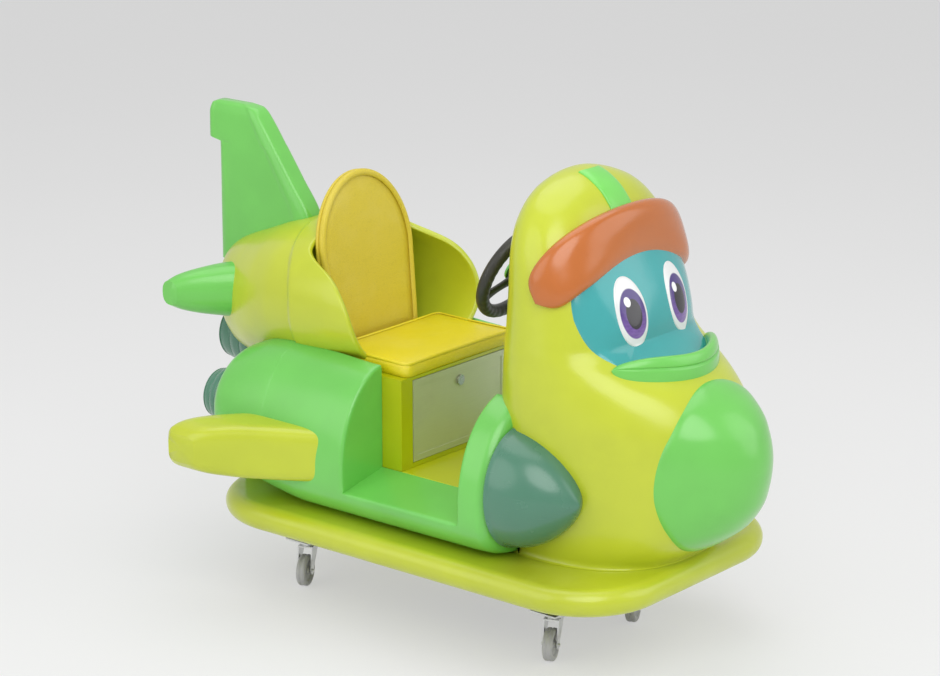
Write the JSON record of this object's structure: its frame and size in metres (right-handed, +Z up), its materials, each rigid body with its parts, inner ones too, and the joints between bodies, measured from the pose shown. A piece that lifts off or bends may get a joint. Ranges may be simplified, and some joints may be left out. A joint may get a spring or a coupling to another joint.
{
  "type": "kiddie ride machine",
  "caption": "Child-size rocking ride shaped as a chubby toy aeroplane, with a padded seat, steering wheel and open doorways, on a wheeled frame.",
  "frame": {"origin": "on the floor under the middle of the overall size", "axes": "+Z up, the nose faces -Y, the seat faces -Y, +X is the rider's left side as built"},
  "size_m": [0.97, 1.5904, 1.081],
  "materials": {
    "lime_gelcoat": "gloss",
    "green_gelcoat": "gloss",
    "teal_gelcoat": "gloss",
    "windscreen_blue": "gloss",
    "visor_orange": "satin",
    "eye_white": "gloss",
    "seat_yellow": "satin",
    "back_amber": "satin",
    "black_plastic": "matte",
    "button_red": "gloss",
    "dark_enclosure": "matte",
    "grey_casting": "as cast",
    "painted_steel": "satin",
    "zinc_plate": "bright",
    "grey_tread": "matte"
  },
  "bodies": {
    "base": {"base_frame": "painted_steel", "caster_plate_fl": "zinc_plate", "caster_plate_fr": "zinc_plate", "caster_plate_rl": "zinc_plate", "caster_plate_rr": "zinc_plate", "bearing_block_left": "grey_casting", "bearing_block_right": "grey_casting", "motor": "painted_steel", "gearbox": "grey_casting"},
    "ride": {"base_tray": "lime_gelcoat", "brow_visor": "visor_orange", "button_bezel": "black_plastic", "control_box": "dark_enclosure", "crest_stripe": "green_gelcoat", "eye_left": "eye_white", "eye_right": "eye_white", "floor_pan": "seat_yellow", "front_shell": "lime_gelcoat", "intake_cone_left": "teal_gelcoat", "intake_cone_right": "teal_gelcoat", "lip": "green_gelcoat", "nose_cap": "green_gelcoat", "pod_nozzle_left": "teal_gelcoat", "pod_nozzle_right": "teal_gelcoat", "ride_frame": "painted_steel", "rock_shaft": "zinc_plate", "seat_back": "back_amber", "seat_box": "seat_yellow", "seat_cushion": "seat_yellow", "side_pod_left": "green_gelcoat", "side_pod_right": "green_gelcoat", "speaker": "black_plastic", "stabiliser_left": "green_gelcoat", "stabiliser_right": "green_gelcoat", "steering_column": "green_gelcoat", "tail_fin": "green_gelcoat", "tail_nozzle": "teal_gelcoat", "tail_shell": "lime_gelcoat", "windscreen": "windscreen_blue", "wing_left": "lime_gelcoat", "wing_right": "lime_gelcoat"},
    "caster_fl": {"caster_fork_fl": "zinc_plate"},
    "wheel_fl": {"caster_wheel_fl": "grey_tread"},
    "brake_fl": {"caster_brake_fl": "painted_steel"},
    "caster_fr": {"caster_fork_fr": "zinc_plate"},
    "wheel_fr": {"caster_wheel_fr": "grey_tread"},
    "brake_fr": {"caster_brake_fr": "painted_steel"},
    "caster_rl": {"caster_fork_rl": "zinc_plate"},
    "wheel_rl": {"caster_wheel_rl": "grey_tread"},
    "brake_rl": {"caster_brake_rl": "painted_steel"},
    "caster_rr": {"caster_fork_rr": "zinc_plate"},
    "wheel_rr": {"caster_wheel_rr": "grey_tread"},
    "brake_rr": {"caster_brake_rr": "painted_steel"},
    "crank": {"crank_disc": "zinc_plate"},
    "roller": {"crank_roller": "grey_casting"},
    "door": {"access_door": "zinc_plate"},
    "lock": {"door_lock": "painted_steel"},
    "steering": {"steering_wheel": "black_plastic", "steering_cap": "green_gelcoat"},
    "button": {"start_button": "button_red"}
  },
  "joints": [
    {"name": "ride_rock", "type": "hinge", "parent": "base", "child": "ride", "pos_m": [0, 0, 0.2], "axis": [1, 0, 0], "range_deg": [-3, 3]},
    {"name": "crank_turn", "type": "hinge", "parent": "base", "child": "crank", "pos_m": [0, -0.22, 0.196], "axis": [1, 0, 0], "range_deg": [-90, 90]},
    {"name": "roller_spin", "type": "hinge", "parent": "crank", "child": "roller", "pos_m": [0, -0.23151, 0.196], "axis": [1, 0, 0], "continuous": true},
    {"name": "caster_swivel_fl", "type": "hinge", "parent": "base", "child": "caster_fl", "pos_m": [0.152, -0.366, 0.112], "axis": [0, 0, 1], "continuous": true},
    {"name": "wheel_roll_fl", "type": "hinge", "parent": "caster_fl", "child": "wheel_fl", "pos_m": [0.12807, -0.37616, 0.0375], "axis": [0.3907, -0.9205, 0], "continuous": true},
    {"name": "brake_press_fl", "type": "hinge", "parent": "caster_fl", "child": "brake_fl", "pos_m": [0.17078, -0.35803, 0.092], "axis": [-0.3907, 0.9205, 0], "range_deg": [0, 16]},
    {"name": "caster_swivel_fr", "type": "hinge", "parent": "base", "child": "caster_fr", "pos_m": [-0.152, -0.366, 0.112], "axis": [0, 0, 1], "continuous": true},
    {"name": "wheel_roll_fr", "type": "hinge", "parent": "caster_fr", "child": "wheel_fr", "pos_m": [-0.17593, -0.37616, 0.0375], "axis": [0.3907, -0.9205, 0], "continuous": true},
    {"name": "brake_press_fr", "type": "hinge", "parent": "caster_fr", "child": "brake_fr", "pos_m": [-0.13322, -0.35803, 0.092], "axis": [-0.3907, 0.9205, 0], "range_deg": [0, 16]},
    {"name": "caster_swivel_rl", "type": "hinge", "parent": "base", "child": "caster_rl", "pos_m": [0.152, 0.366, 0.112], "axis": [0, 0, 1], "continuous": true},
    {"name": "wheel_roll_rl", "type": "hinge", "parent": "caster_rl", "child": "wheel_rl", "pos_m": [0.12807, 0.35584, 0.0375], "axis": [0.3907, -0.9205, 0], "continuous": true},
    {"name": "brake_press_rl", "type": "hinge", "parent": "caster_rl", "child": "brake_rl", "pos_m": [0.17078, 0.37397, 0.092], "axis": [-0.3907, 0.9205, 0], "range_deg": [0, 16]},
    {"name": "caster_swivel_rr", "type": "hinge", "parent": "base", "child": "caster_rr", "pos_m": [-0.152, 0.366, 0.112], "axis": [0, 0, 1], "continuous": true},
    {"name": "wheel_roll_rr", "type": "hinge", "parent": "caster_rr", "child": "wheel_rr", "pos_m": [-0.17593, 0.35584, 0.0375], "axis": [0.3907, -0.9205, 0], "continuous": true},
    {"name": "brake_press_rr", "type": "hinge", "parent": "caster_rr", "child": "brake_rr", "pos_m": [-0.13322, 0.37397, 0.092], "axis": [-0.3907, 0.9205, 0], "range_deg": [0, 16]},
    {"name": "door_swing", "type": "hinge", "parent": "ride", "child": "door", "pos_m": [0, 0.029, 0.371], "axis": [1, 0, 0], "range_deg": [0, 85]},
    {"name": "lock_turn", "type": "hinge", "parent": "door", "child": "lock", "pos_m": [0, 0.03, 0.527], "axis": [0, -1, 0], "range_deg": [0, 90]},
    {"name": "wheel_turn", "type": "hinge", "parent": "ride", "child": "steering", "pos_m": [0, -0.136, 0.812], "axis": [0, 0.9063, 0.4226], "continuous": true},
    {"name": "button_press", "type": "slide", "parent": "ride", "child": "button", "axis": [0, -1, 0], "range_m": [0, 0.003], "stiffness_N_per_m": 400}
  ],
  "couplings": [
    {"joint": "crank_turn", "follows": "ride_rock", "ratio": 30}
  ]
}
